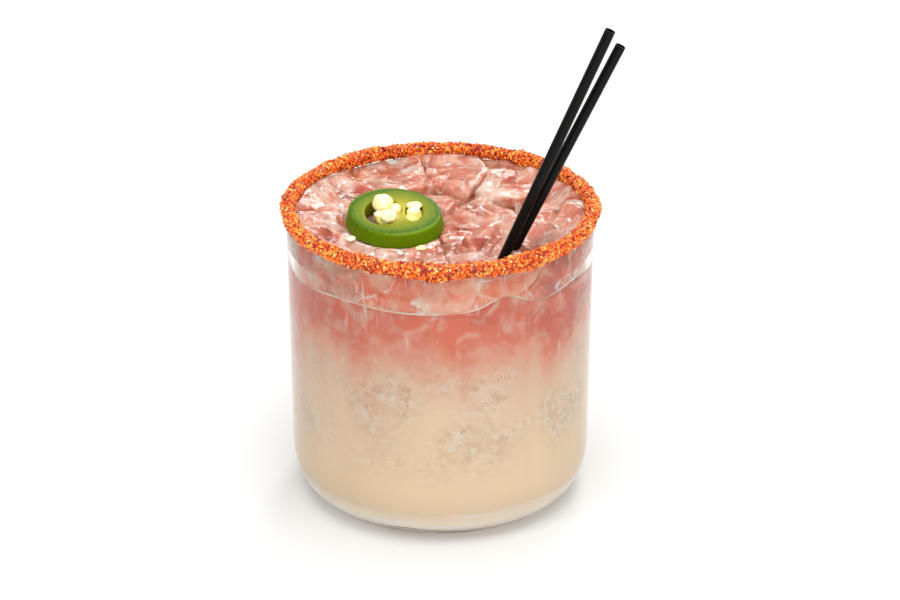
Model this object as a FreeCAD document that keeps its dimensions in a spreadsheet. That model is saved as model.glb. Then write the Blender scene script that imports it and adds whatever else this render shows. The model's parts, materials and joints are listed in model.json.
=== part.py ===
"""A margarita on the rocks in a double rocks tumbler with a chilli-salt rim.

The origin is the centre of the glass's foot, where it stands, with +Z up. +X points to the side that
the straws lean to, and -Y is the front. Every size is a cell of the sheet named Sizes, in millimetres
or degrees. The liquid, the ice, the pepper slice and the straws take their places from the glass's
own sizes, so the drink stays as full when the glass changes.
"""

import FreeCAD, Part
import math
import os
import random

from FreeCAD import Placement, Rotation, Vector
from Sketcher import Constraint

SIZES = {
    # the tumbler: an almost straight wall, a wide belly arc and a tighter heel arc down to the foot
    "glass_height": 89.2,
    "rim_radius": 45.0,
    "shoulder_radius": 44.5,
    "belly_radius": 23.4,
    "belly_turn": 17.2,
    "heel_radius": 10.7,
    "wall_thickness": 1.9,
    "floor_thickness": 4.2,
    "lip_rounding": 0.85,
    # the drink, whose surface lies this far below the rim
    "freeboard": 14.2,
    "fill_clearance": 0.1,
    # the chilli-salt crust that sits astride the lip
    "crust_outside": 1.7,
    "crust_inside": 1.0,
    "crust_above": 1.9,
    "crust_below": 2.6,
    "crust_clearance": 0.1,
    "crust_roughness": 0.3,
    # the ice that stands out of the liquid, higher at the back than at the front
    "ice_rise": 9.0,
    "ice_slope": 3.6,
    "ice_depth": 12.0,
    "ice_gap": 0.7,
    "ice_wall_gap": 0.8,
    "ice_jitter": 3.2,
    "ice_depth_jitter": 5.0,
    "ice_top_jitter": 0.7,
    "ice_top_lean": 8.0,
    "ice_corner_reach": 8.0,
    # the slice of green pepper: an oval that widens downwards, with two seed lobes
    "slice_radius": 13.1,
    "slice_ovalness": 0.7,
    "slice_flare": 1.0,
    "slice_thickness": 4.5,
    "slice_tilt": 8.8,
    "slice_turn": -28.0,
    "slice_across": -13.3,
    "slice_back": 0.4,
    "slice_rise": 8.1,
    "slice_clearance": 0.3,
    "wide_lobe_length": 14.0,
    "wide_lobe_width": 10.6,
    "wide_lobe_offset": -3.4,
    "slim_lobe_length": 10.4,
    "slim_lobe_width": 5.0,
    "membrane": 1.3,
    "pith_headroom": 2.05,
    # the two sip straws, which cross the ice side by side and end just above the floor
    "straw_length": 152.4,
    "straw_diameter": 3.0,
    "straw_bore": 2.5,
    "straw_clearance": 0.2,
    "straw_spacing": 0.3,
    "straws_back": -18.0,
    "front_straw_lean": 22.65,
    "front_straw_across": -11.9,
    "front_straw_lift": 4.7,
    "rear_straw_lean": 25.04,
    "rear_straw_across": -14.5,
    "rear_straw_lift": 1.6,
}

LARGEST_LIP_SHARE = 0.45

# ice chunks stand in two rings, each with its count, its share of the cavity's radius and first turn
ICE_RINGS = ((9, 0.73, 0.0), (5, 0.31, 22.0))
ICE_CORNER_LEANS = (28.0, 40.0)
ICE_SEED = 23

CRUST_STATIONS = 120
CRUST_ARC = (-45.0, -15.0, 15.0, 45.0, 75.0, 105.0, 135.0, 165.0, 195.0, 225.0)
# where the crust hangs lower on the wall: direction, half width in degrees, extra depth, inside wall
CRUST_DRIPS = (
    (268.0, 4.0, 1.6, False),
    (186.0, 6.0, 1.2, False),
    (305.0, 7.0, 0.9, False),
    (38.0, 12.0, 3.0, True),
    (12.0, 9.0, 1.6, True),
)

# seeds, by the lobe that they fill: half sizes across, along and up, then the centre from the middle of
# the lobe on the slice's upper face. Across and along are shares of the lobe's own half sizes.
SEEDS = {
    "seed_round": ("wide_lobe", (0.49, 0.386, 2.2), (-0.02, 0.47, 0.4)),
    "seed_middle": ("wide_lobe", (0.236, 0.271, 1.3), (0.69, 0.043, 0.3)),
    "seed_front": ("wide_lobe", (0.396, 0.314, 1.7), (0.32, -0.443, 0.1)),
    "seed_small": ("wide_lobe", (0.208, 0.186, 0.8), (-0.226, -0.157, -0.6)),
    "seed_long": ("slim_lobe", (0.8, 0.25, 1.0), (0.0, 0.52, 0.0)),
    "seed_side": ("slim_lobe", (0.68, 0.308, 1.2), (-0.04, -0.135, 0.0)),
}
PITH_SHARES = (0.6, 0.657)
PITH_CENTRE = (0.226, -0.214)

# longer than anything here, for blocks that only cut
FAR = 400.0


# ------------------------------------------------------------------------ document, sheet, sketches


def make_sheet(doc):
    """Put every driving size in a sheet, one row each, with its name as the cell's alias."""
    sheet = doc.addObject("Spreadsheet::Sheet", "Sizes")
    for row, (name, value) in enumerate(SIZES.items(), start=1):
        sheet.set(f"A{row}", name)
        sheet.set(f"B{row}", str(value))
        sheet.setAlias(f"B{row}", name)
    doc.recompute()
    return sheet


def total(sheet, names):
    return sum(sheet.get(name) for name in names)


def formula(names):
    return " + ".join(f"Sizes.{name}" for name in names)


def new_body(doc, label):
    body = doc.addObject("PartDesign::Body", label)
    body.Label = label
    return body


def new_sketch(body, name, plane):
    """A sketch on one of the body's own origin planes."""
    sketch = body.newObject("Sketcher::SketchObject", name)
    plane_object = [item for item in body.Origin.OriginFeatures if item.Role == plane][0]
    sketch.AttachmentSupport = [(plane_object, "")]
    sketch.MapMode = "FlatFace"
    return sketch


def bind(sketch, expression, *constraint):
    """Add a dimension to a sketch and tie it to the sheet."""
    index = sketch.addConstraint(Constraint(*constraint))
    sketch.setExpression(f"Constraints[{index}]", expression)


def turn_round_axis(body, kind, sketch, name):
    """A full Revolution or Groove of a sketch about the body's upright axis."""
    feature = body.newObject(kind, name)
    feature.Profile = sketch
    feature.ReferenceAxis = (sketch, ["V_Axis"])
    feature.Angle = 360.0
    return feature


# --------------------------------------------------------------------------------- glass and drink


def drink_level(sheet):
    return sheet.glass_height - sheet.freeboard


def bowl_points(sheet, inset, floor):
    """The rim's edge and the radii and angles of the bowl's outline, an inset inside the outer wall."""
    belly = sheet.belly_radius - inset
    heel = sheet.heel_radius - inset
    turn = math.radians(sheet.belly_turn)
    rim = Vector(sheet.rim_radius - inset, sheet.glass_height, 0)
    shoulder_x = sheet.shoulder_radius - inset
    shoulder_z = floor + heel + (belly - heel) * math.sin(turn)
    taper = math.atan2(rim.x - shoulder_x, rim.y - shoulder_z)
    return rim, shoulder_x, belly, heel, turn, taper


def draw_bowl(sketch, sheet, inset, base):
    """Half of the tumbler's outline, closed along the axis, drawn from the foot up to the rim.

    inset and base name the sizes that add up to how far the outline lies inside the outer wall, and
    how high its floor is. With neither, it is the outside of the glass.
    """
    inset_size = total(sheet, inset)
    floor = total(sheet, base)
    minus_inset = "".join(f" - Sizes.{name}" for name in inset)
    rim, shoulder_x, belly, heel, turn, taper = bowl_points(sheet, inset_size, floor)
    steep = taper + turn
    belly_z = floor + heel + (belly - heel) * math.sin(steep)
    belly_centre = Vector(shoulder_x - belly * math.cos(taper), belly_z, 0)
    shoulder = belly_centre + Vector(math.cos(taper), -math.sin(taper), 0) * belly
    heel_centre = belly_centre + Vector(math.cos(steep), -math.sin(steep), 0) * (belly - heel)
    foot_edge = heel_centre - Vector(0, heel, 0)
    up = Vector(0, 0, 1)

    foot = sketch.addGeometry(Part.LineSegment(Vector(0, floor, 0), foot_edge))
    heel_arc = sketch.addGeometry(Part.ArcOfCircle(Part.Circle(heel_centre, up, heel), -math.pi / 2, -steep))
    belly_arc = sketch.addGeometry(Part.ArcOfCircle(Part.Circle(belly_centre, up, belly), -steep, -taper))
    wall = sketch.addGeometry(Part.LineSegment(shoulder, rim))
    top = sketch.addGeometry(Part.LineSegment(rim, Vector(0, rim.y, 0)))
    axis = sketch.addGeometry(Part.LineSegment(Vector(0, rim.y, 0), Vector(0, floor, 0)))

    for first, second in ((foot, heel_arc), (heel_arc, belly_arc), (belly_arc, wall)):
        sketch.addConstraint(Constraint("Tangent", first, 2, second, 1))
    for first, second in ((wall, top), (top, axis), (axis, foot)):
        sketch.addConstraint(Constraint("Coincident", first, 2, second, 1))
    sketch.addConstraint(Constraint("Horizontal", foot))
    sketch.addConstraint(Constraint("Horizontal", top))
    sketch.addConstraint(Constraint("PointOnObject", axis, 1, -2))
    if base:
        sketch.addConstraint(Constraint("PointOnObject", axis, 2, -2))
        bind(sketch, formula(base), "DistanceY", -1, 1, axis, 2, floor)
    else:
        sketch.addConstraint(Constraint("Coincident", axis, 2, -1, 1))
    bind(sketch, "Sizes.rim_radius" + minus_inset, "DistanceX", -1, 1, wall, 2, rim.x)
    bind(sketch, "Sizes.glass_height", "DistanceY", -1, 1, wall, 2, rim.y)
    bind(sketch, "Sizes.shoulder_radius" + minus_inset, "DistanceX", -1, 1, wall, 1, shoulder.x)
    bind(sketch, "Sizes.belly_radius" + minus_inset, "Radius", belly_arc, belly)
    bind(sketch, "Sizes.heel_radius" + minus_inset, "Radius", heel_arc, heel)
    bind(sketch, "Sizes.belly_turn * 1 deg", "Angle", belly_arc, turn)


def make_tumbler(doc, sheet):
    """The glass: a solid bowl shape, hollowed by the same shape one wall smaller, with a round lip."""
    body = new_body(doc, "tumbler")
    outside = new_sketch(body, "tumbler_outside", "XZ_Plane")
    draw_bowl(outside, sheet, (), ())
    turn_round_axis(body, "PartDesign::Revolution", outside, "tumbler_blank")
    inside = new_sketch(body, "tumbler_inside", "XZ_Plane")
    draw_bowl(inside, sheet, ("wall_thickness",), ("floor_thickness",))
    hollow = turn_round_axis(body, "PartDesign::Groove", inside, "tumbler_hollow")
    doc.recompute()
    lip_edges = [
        f"Edge{number}"
        for number, edge in enumerate(hollow.Shape.Edges, start=1)
        if edge.BoundBox.ZMin > sheet.glass_height - sheet.lip_rounding / 2
    ]
    lip = body.newObject("PartDesign::Fillet", "tumbler_lip")
    lip.Base = (hollow, lip_edges)
    lip.setExpression("Radius", f"min(Sizes.lip_rounding; Sizes.wall_thickness * {LARGEST_LIP_SHARE})")
    return body


def make_room(doc, sheet, label, gap):
    """The inside of the glass up to the rim, less a gap from the wall and the floor."""
    body = new_body(doc, label)
    outline = new_sketch(body, f"{label}_outline", "XZ_Plane")
    draw_bowl(outline, sheet, ("wall_thickness", gap), ("floor_thickness", gap))
    turn_round_axis(body, "PartDesign::Revolution", outline, f"{label}_brimful")
    return body


def lower_to_level(body, sheet):
    """Take away what stands above the surface of the drink."""
    level = drink_level(sheet)
    corners = [
        Vector(0, level, 0),
        Vector(sheet.rim_radius, level, 0),
        Vector(sheet.rim_radius, sheet.glass_height, 0),
        Vector(0, sheet.glass_height, 0),
    ]
    above = new_sketch(body, "drink_freeboard", "XZ_Plane")
    sides = [above.addGeometry(Part.LineSegment(corners[i - 1], corners[i])) for i in range(4)]
    axis, surface, wall, rim = sides
    for i in range(4):
        above.addConstraint(Constraint("Coincident", sides[i - 1], 2, sides[i], 1))
    above.addConstraint(Constraint("Horizontal", surface))
    above.addConstraint(Constraint("Horizontal", rim))
    above.addConstraint(Constraint("Vertical", wall))
    above.addConstraint(Constraint("PointOnObject", axis, 1, -2))
    above.addConstraint(Constraint("PointOnObject", axis, 2, -2))
    bind(above, "Sizes.glass_height - Sizes.freeboard", "DistanceY", -1, 1, wall, 1, level)
    bind(above, "Sizes.glass_height", "DistanceY", -1, 1, wall, 2, sheet.glass_height)
    bind(above, "Sizes.rim_radius", "DistanceX", -1, 1, wall, 1, sheet.rim_radius)
    turn_round_axis(body, "PartDesign::Groove", above, "drink_surface")


def make_drink(doc, fill, displacers):
    """The liquid: the fill, cut round everything that stands in it."""
    room = doc.addObject("Part::Compound", "drink_displaced")
    room.Links = displacers
    drink = doc.addObject("Part::Cut", "drink")
    drink.Base = fill
    drink.Tool = room
    drink.Label = "drink"
    return drink


# -------------------------------------------------------------------------------------- salt crust


def crust_bump(azimuth, around):
    """How far the crust stands proud here, from -1 to 1: waves that close on themselves."""
    waves = (
        (0.34, 9, 1, 0.3),
        (0.28, 17, 2, 1.9),
        (0.22, 31, -3, 4.0),
        (0.16, 47, 3, 2.2),
    )
    angles = [turns * azimuth + twist * around + phase for size, turns, twist, phase in waves]
    return sum(wave[0] * math.sin(angle) for wave, angle in zip(waves, angles))


def crust_drip(azimuth, inside):
    """How much further down the wall the crust reaches in this direction."""
    depth = 0.0
    for direction, half_width, extra, is_inside in CRUST_DRIPS:
        if is_inside != inside:
            continue
        away = (math.degrees(azimuth) - direction + 180.0) % 360.0 - 180.0
        if abs(away) < 2 * half_width:
            depth += extra * math.cos(math.pi * away / (4 * half_width)) ** 2
    return depth


def crust_section(sheet, azimuth):
    """One upright section through the crust: out and over the lip, then back along its notch.

    It leans as the wall does, so that the notch fits the wall all the way down.
    """
    outer = sheet.rim_radius + sheet.crust_clearance
    inner = sheet.rim_radius - sheet.wall_thickness - sheet.crust_clearance
    middle = (outer + inner) / 2
    half_wall = (outer - inner) / 2
    rim = sheet.glass_height
    outer_end = rim - sheet.crust_below - crust_drip(azimuth, False)
    inner_end = rim - sheet.crust_below - crust_drip(azimuth, True)
    section = [(outer, rim + sheet.crust_clearance), (outer, outer_end - 0.4 * sheet.crust_roughness)]
    for degrees in CRUST_ARC:
        around = math.radians(degrees)
        outside = math.cos(around) > 0
        width = half_wall + (sheet.crust_outside if outside else sheet.crust_inside)
        end = outer_end if outside else inner_end
        height = sheet.crust_above if math.sin(around) > 0 else rim - end
        bump = 1 + sheet.crust_roughness * crust_bump(azimuth, around) / sheet.crust_outside
        section.append((middle + width * bump * math.cos(around), rim + height * bump * math.sin(around)))
    section += [(inner, inner_end - 0.4 * sheet.crust_roughness), (inner, rim + sheet.crust_clearance)]
    lean = math.tan(bowl_points(sheet, 0.0, 0.0)[-1])
    leaned = [(r + (z - rim) * lean, z) for r, z in section]
    return [Vector(r * math.cos(azimuth), r * math.sin(azimuth), z) for r, z in leaned]


def make_crust(doc, sheet):
    """The salt crust: uneven sections round the rim, joined by flat facets."""
    sections = [crust_section(sheet, 2 * math.pi * i / CRUST_STATIONS) for i in range(CRUST_STATIONS)]
    count = len(sections[0])
    points = [point for section in sections for point in section]
    facets = []
    for station in range(CRUST_STATIONS):
        here = station * count
        there = (station + 1) % CRUST_STATIONS * count
        for first in range(count):
            second = (first + 1) % count
            facets.append((here + first, there + first, there + second))
            facets.append((here + first, there + second, here + second))
    shell = Part.Shape()
    shell.makeShapeFromMesh((points, facets), sheet.crust_clearance / 10)
    solid = Part.Solid(shell.Shells[0])
    if solid.Volume < 0:
        solid.reverse()
    crust = doc.addObject("Part::Feature", "salt_rim")
    crust.Shape = solid
    crust.Label = "salt_rim"
    return crust


# --------------------------------------------------------------------------------------------- ice


def ice_centres(sheet, dice):
    """The middles of the chunks, in rings, each a little off its place and at its own depth."""
    cavity = sheet.shoulder_radius - sheet.wall_thickness
    middles = []
    for count, share, first_turn in ICE_RINGS:
        for i in range(count):
            azimuth = math.radians(first_turn + 360.0 * i / count)
            x = cavity * share * math.cos(azimuth) + dice.uniform(-sheet.ice_jitter, sheet.ice_jitter)
            y = cavity * share * math.sin(azimuth) + dice.uniform(-sheet.ice_jitter, sheet.ice_jitter)
            depth = dice.uniform(-sheet.ice_depth_jitter, sheet.ice_depth_jitter)
            middles.append(Vector(x, y, drink_level(sheet) + depth))
    return middles


def beyond(point, normal):
    """Everything past a plane, as a block to cut away."""
    block = Part.makeBox(FAR, FAR, FAR, Vector(-FAR / 2, -FAR / 2, 0))
    block.Placement = Placement(point, Rotation(Vector(0, 0, 1), normal))
    return block


def leaning(lean, azimuth):
    """A unit vector that leans from upright by an angle in degrees, towards an azimuth in radians."""
    tilt = math.radians(lean)
    return Vector(math.sin(tilt) * math.cos(azimuth), math.sin(tilt) * math.sin(azimuth), math.cos(tilt))


def ice_chunk(sheet, room, middle, others, dice):
    """One block of ice: the room nearer to its middle than to any other, with broken faces above."""
    bottom = drink_level(sheet) - sheet.ice_depth
    top = drink_level(sheet) + sheet.ice_rise + sheet.ice_slope * middle.y / sheet.shoulder_radius
    top += dice.uniform(-sheet.ice_top_jitter, sheet.ice_top_jitter)
    chunk = room.cut(beyond(Vector(0, 0, bottom), Vector(0, 0, -1)))
    for other in others:
        apart = other - middle
        halfway = middle + apart * 0.5
        side = Vector(apart).normalize()
        chunk = chunk.cut(beyond(halfway - side * (sheet.ice_gap / 2), side))
    peak = Vector(middle.x, middle.y, top)
    azimuth = dice.uniform(0, 2 * math.pi)
    chunk = chunk.cut(beyond(peak, leaning(dice.uniform(0, sheet.ice_top_lean), azimuth)))
    for lean in ICE_CORNER_LEANS:
        azimuth += dice.uniform(1.6, 2.8)
        corner = peak + Vector(math.cos(azimuth), math.sin(azimuth), 0) * sheet.ice_corner_reach
        chunk = chunk.cut(beyond(corner, leaning(lean, azimuth)))
        low_corner = Vector(corner.x, corner.y, bottom)
        chunk = chunk.cut(beyond(low_corner, leaning(180.0 - lean, azimuth)))
    return chunk


def beside_straw(sheet, chunk, middle, straw_room):
    """The part of a chunk on its own side of a straw, if the straw would pass through it."""
    if chunk.common(straw_room.Shape).Volume == 0:
        return chunk
    foot = straw_room.Placement.Base
    along = straw_room.Placement.Rotation.multVec(Vector(0, 0, 1))
    nearest = foot + along * (middle - foot).dot(along)
    side = (nearest - middle).normalize()
    return chunk.cut(beyond(nearest - side * (straw_room.Radius.Value + sheet.ice_gap), side))


def crust_room(sheet):
    """The ring under the lip that the crust's lowest grains may fill."""
    inner = sheet.rim_radius - sheet.wall_thickness - 2 * sheet.crust_inside
    lowest = sheet.glass_height - sheet.crust_below - 3 * sheet.crust_roughness
    ring = Part.makeCylinder(FAR, FAR, Vector(0, 0, lowest))
    return ring.cut(Part.makeCylinder(inner, FAR, Vector(0, 0, lowest)))


def slice_room(sheet):
    """The slice's own round, a clearance larger, and everything above it."""
    widest = sheet.slice_radius + sheet.slice_ovalness + sheet.slice_flare + sheet.slice_clearance
    room = Part.makeCylinder(widest, FAR, Vector(0, 0, -sheet.slice_clearance))
    room.Placement = slice_placement(sheet)
    return room


def make_ice(doc, sheet, room, straw_rooms):
    """All the chunks, with room for the slice that lies on them and the straws that stand in them."""
    dice = random.Random(ICE_SEED)
    middles = ice_centres(sheet, dice)
    chunks = []
    for number, middle in enumerate(middles, start=1):
        others = [other for other in middles if other is not middle]
        shape = ice_chunk(sheet, room.Shape, middle, others, dice)
        shape = shape.cut([slice_room(sheet), crust_room(sheet)])
        for straw_room in straw_rooms:
            shape = beside_straw(sheet, shape, middle, straw_room)
        chunk = doc.addObject("Part::Feature", f"ice_{number:02d}")
        chunk.Shape = shape
        chunk.Label = f"ice_{number:02d}"
        chunks.append(chunk)
    return chunks


# ------------------------------------------------------------------------------------ pepper slice


def slice_placement(sheet):
    """Where the slice's underside lies: on the ice, tipped towards the front."""
    middle = Vector(sheet.slice_across, sheet.slice_back, drink_level(sheet) + sheet.slice_rise)
    return Placement(middle, Rotation(Vector(1, 0, 0), sheet.slice_tilt))


def make_oval(doc, name, long_radius, short_radius, place):
    """An ellipse whose two radii are expressions on the sheet."""
    oval = doc.addObject("Part::Ellipse", name)
    oval.setExpression("MajorRadius", long_radius)
    oval.setExpression("MinorRadius", short_radius)
    oval.Placement = place
    return oval


def lobe_offset(sheet, name):
    """How far a lobe's middle lies across the slice: the slim lobe is one membrane from the wide one."""
    if name == "wide_lobe":
        return sheet.wide_lobe_offset
    half_widths = (sheet.wide_lobe_width + sheet.slim_lobe_width) / 2
    return sheet.wide_lobe_offset + half_widths + sheet.membrane


def make_lobe(doc, sheet, name):
    """One seed lobe, cut right through the slice, longer across the slice than along it."""
    place = Placement(Vector(lobe_offset(sheet, name), 0, 0), Rotation(Vector(0, 0, 1), 90))
    outline = make_oval(doc, f"{name}_outline", f"Sizes.{name}_length / 2", f"Sizes.{name}_width / 2", place)
    lobe = doc.addObject("Part::Extrusion", name)
    lobe.Base = outline
    lobe.Dir = Vector(0, 0, 1)
    lobe.Solid = True
    lobe.setExpression("LengthFwd", "Sizes.slice_thickness")
    return lobe


def make_slice(doc, sheet):
    """The ring of green flesh and skin, a cone between two ovals with its lobes cut through."""
    turn = Rotation(Vector(0, 0, 1), sheet.slice_turn)
    wide = "Sizes.slice_radius + Sizes.slice_ovalness"
    narrow = "Sizes.slice_radius - Sizes.slice_ovalness"
    flare = " + Sizes.slice_flare"
    lower = make_oval(doc, "slice_lower", wide + flare, narrow + flare, Placement(Vector(), turn))
    lifted = Placement(Vector(0, 0, sheet.slice_thickness), turn)
    upper = make_oval(doc, "slice_upper", wide, narrow, lifted)
    whole = doc.addObject("Part::Loft", "slice_whole")
    whole.Sections = [lower, upper]
    whole.Solid = True
    whole.Ruled = True
    lobes = doc.addObject("Part::Compound", "slice_lobes")
    lobes.Links = [make_lobe(doc, sheet, name) for name in ("wide_lobe", "slim_lobe")]
    ring = doc.addObject("Part::Cut", "jalapeno_ring")
    ring.Base = whole
    ring.Tool = lobes
    ring.Label = "jalapeno_ring"
    ring.Placement = slice_placement(sheet)
    return ring


def make_kernel(doc, sheet, label, lobe, shares, centre_shares, half_height, lift):
    """An egg-shaped piece in a lobe: a seed, or the pith that the seeds grow on."""
    kernel = doc.addObject("Part::Ellipsoid", label)
    kernel.Label = label
    kernel.setExpression("Radius2", f"Sizes.{lobe}_width / 2 * {shares[0]}")
    kernel.setExpression("Radius3", f"Sizes.{lobe}_length / 2 * {shares[1]}")
    kernel.setExpression("Radius1", half_height)
    kernel.Angle1 = -90
    kernel.Angle2 = 90
    kernel.Angle3 = 360
    across = lobe_offset(sheet, lobe) + centre_shares[0] * sheet.get(f"{lobe}_width") / 2
    back = centre_shares[1] * sheet.get(f"{lobe}_length") / 2
    kernel.Placement = slice_placement(sheet).multiply(Placement(Vector(across, back, lift), Rotation()))
    return kernel


def make_seeds(doc, sheet):
    seeds = []
    for label, (lobe, sizes, centre) in SEEDS.items():
        lift = sheet.slice_thickness + centre[2]
        seeds.append(make_kernel(doc, sheet, label, lobe, sizes[:2], centre[:2], str(sizes[2]), lift))
    return seeds


def make_pith(doc, sheet):
    """The pale cushion low in the wide lobe, from the slice's underside up to the seeds."""
    half_height = "(Sizes.slice_thickness - Sizes.pith_headroom) / 2"
    lift = (sheet.slice_thickness - sheet.pith_headroom) / 2
    return make_kernel(doc, sheet, "pith", "wide_lobe", PITH_SHARES, PITH_CENTRE, half_height, lift)


# ------------------------------------------------------------------------------------------ straws


def straw_placement(sheet, which):
    """Where one straw's foot stands, and how far the straw leans towards +X."""
    behind = sheet.straw_diameter + sheet.straw_spacing if which == "rear" else 0.0
    foot = Vector(
        sheet.get(f"{which}_straw_across"),
        sheet.straws_back + behind,
        sheet.floor_thickness + sheet.get(f"{which}_straw_lift"),
    )
    return Placement(foot, Rotation(Vector(0, 1, 0), sheet.get(f"{which}_straw_lean")))


def make_straw_room(doc, sheet, which):
    """The channel that a straw takes up in the ice and the liquid."""
    room = doc.addObject("Part::Cylinder", f"{which}_straw_room")
    room.setExpression("Radius", "Sizes.straw_diameter / 2 + Sizes.straw_clearance")
    room.setExpression("Height", "Sizes.straw_length + Sizes.straw_clearance")
    place = straw_placement(sheet, which)
    place.move(place.Rotation.multVec(Vector(0, 0, -sheet.straw_clearance)))
    room.Placement = place
    return room


def make_straw(doc, sheet, which):
    """One sip straw: a tube, open at both ends."""
    body = new_body(doc, f"straw_{which}")
    ends = new_sketch(body, f"straw_{which}_end", "XY_Plane")
    for name in ("straw_diameter", "straw_bore"):
        size = sheet.get(name)
        circle = ends.addGeometry(Part.Circle(Vector(), Vector(0, 0, 1), size / 2))
        ends.addConstraint(Constraint("Coincident", circle, 3, -1, 1))
        bind(ends, f"Sizes.{name}", "Diameter", circle, size)
    tube = body.newObject("PartDesign::Pad", f"straw_{which}_tube")
    tube.Profile = ends
    tube.setExpression("Length", "Sizes.straw_length")
    body.Placement = straw_placement(sheet, which)
    return body


# ------------------------------------------------------------------------------- build and export


def check(doc, pieces):
    """Stop if any object failed, or if any piece isn't one sound solid."""
    failed = [item.Label for item in doc.Objects if {"Invalid", "Error"} & set(item.State)]
    if failed:
        raise RuntimeError(f"failed to recompute: {failed}")
    for piece in pieces:
        shape = piece.Shape
        if shape.isNull() or not shape.isValid() or len(shape.Solids) != 1:
            raise RuntimeError(f"{piece.Label} is not one valid solid: {len(shape.Solids)} solids")


def main():
    doc = FreeCAD.newDocument("margarita")
    sheet = make_sheet(doc)
    tumbler = make_tumbler(doc, sheet)
    crust = make_crust(doc, sheet)
    ice_room = make_room(doc, sheet, "ice_room", "ice_wall_gap")
    fill = make_room(doc, sheet, "drink_room", "fill_clearance")
    lower_to_level(fill, sheet)
    straws = [make_straw(doc, sheet, which) for which in ("front", "rear")]
    straw_rooms = [make_straw_room(doc, sheet, which) for which in ("front", "rear")]
    ring = make_slice(doc, sheet)
    seeds = make_seeds(doc, sheet)
    pith = make_pith(doc, sheet)
    doc.recompute()
    chunks = make_ice(doc, sheet, ice_room, straw_rooms)
    drink = make_drink(doc, fill, chunks + straw_rooms)
    doc.recompute()

    pieces = [tumbler, drink, crust, ring, pith] + seeds + chunks + straws
    check(doc, pieces)
    os.makedirs("parts", exist_ok=True)
    for piece in pieces:
        piece.Shape.exportStep(f"parts/{piece.Label}.step")
        print(f"{piece.Label:14s} {piece.Shape.Volume / 1000:9.3f} cm3")


main()
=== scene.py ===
# %% [markdown]
# A short salt-rimmed cocktail in its tumbler
#
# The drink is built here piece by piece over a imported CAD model. The CAD model is the fixed
# frame: it says where every piece is and how large. What is made below stands for it where the
# eye needs more than a plain solid: smooth glass, a cloudy drink, melting ice, and a crust of
# chilli and salt made of real grains. Lengths are written in millimetres and turned to metres by
# one constant, because a glass is easier to think about in millimetres.

# %% Load the frame
import json
import math
import random

import bmesh
import bpy
from mathutils import Matrix, Vector, noise

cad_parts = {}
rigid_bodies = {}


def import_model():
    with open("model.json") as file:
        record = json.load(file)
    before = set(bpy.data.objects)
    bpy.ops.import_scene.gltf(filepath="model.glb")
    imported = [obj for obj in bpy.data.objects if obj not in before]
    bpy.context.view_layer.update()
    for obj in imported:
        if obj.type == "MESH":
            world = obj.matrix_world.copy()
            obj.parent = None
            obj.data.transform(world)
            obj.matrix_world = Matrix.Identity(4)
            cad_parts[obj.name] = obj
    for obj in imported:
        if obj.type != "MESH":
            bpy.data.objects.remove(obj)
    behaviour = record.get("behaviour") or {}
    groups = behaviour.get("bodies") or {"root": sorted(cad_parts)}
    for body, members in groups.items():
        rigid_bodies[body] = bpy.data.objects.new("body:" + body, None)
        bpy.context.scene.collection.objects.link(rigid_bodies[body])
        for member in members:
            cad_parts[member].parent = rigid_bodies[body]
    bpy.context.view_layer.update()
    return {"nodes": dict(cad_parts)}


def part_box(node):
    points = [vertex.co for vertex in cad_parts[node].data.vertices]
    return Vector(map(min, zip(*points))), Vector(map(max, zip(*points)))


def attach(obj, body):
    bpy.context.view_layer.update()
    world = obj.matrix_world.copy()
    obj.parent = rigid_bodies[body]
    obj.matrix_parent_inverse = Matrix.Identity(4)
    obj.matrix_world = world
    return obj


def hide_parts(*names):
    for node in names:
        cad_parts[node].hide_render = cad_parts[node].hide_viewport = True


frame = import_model()
NODES = frame["nodes"]
MM = 0.001

# %% [markdown]
# The camera comes first, so that every later choice can be judged through it. It is a long lens
# a little above the rim, close to where a person's eyes are when the glass is on the table.

# %% Camera
CAMERA_PLACE = (0.0, -0.7156, 0.4026)
CAMERA_TILT = 63.45
LENS = 107.2

camera_data = bpy.data.cameras.new("camera")
camera_data.lens = LENS
camera_data.sensor_width = 36.0
camera_data.shift_x = 0.0108
camera_data.shift_y = 0.0458
camera = bpy.data.objects.new("camera", camera_data)
camera.location = CAMERA_PLACE
camera.rotation_euler = (math.radians(CAMERA_TILT), 0.0, 0.0)
bpy.context.scene.collection.objects.link(camera)
bpy.context.scene.camera = camera
bpy.context.scene.view_settings.view_transform = "Standard"
print("camera at", CAMERA_PLACE, "lens", LENS)

# %% [markdown]
# Three small helpers do the repeated work of every material. One turns the hex colours that a
# painter would note down into the linear values that the renderer adds up. One starts a material
# with its main shader. One adds a node, sets it and links it, so that a whole pattern reads as
# a short list.

# %% Material helpers
def linear(code):
    """An sRGB hex colour as the linear red, green, blue and alpha that nodes use."""
    channels = [int(code[i:i + 2], 16) / 255 for i in (1, 3, 5)]
    return [c / 12.92 if c <= 0.04045 else ((c + 0.055) / 1.055) ** 2.4 for c in channels] + [1.0]


def start_material(name):
    """A new material: itself, its node tree, its main shader and the Object coordinates."""
    material = bpy.data.materials.new(name)
    material.use_nodes = True
    tree = material.node_tree
    shader = tree.nodes["Principled BSDF"]
    place = tree.nodes.new("ShaderNodeTexCoord").outputs["Object"]
    return material, tree, shader, place


def add(tree, kind, inputs=None, **settings):
    """Adds a node. Inputs are values to set or sockets to link; settings are its own properties."""
    made = tree.nodes.new("ShaderNode" + kind)
    for name, value in settings.items():
        setattr(made, name, value)
    for name, value in (inputs or {}).items():
        if isinstance(value, bpy.types.NodeSocket):
            tree.links.new(value, made.inputs[name])
        else:
            made.inputs[name].default_value = value
    return made


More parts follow.
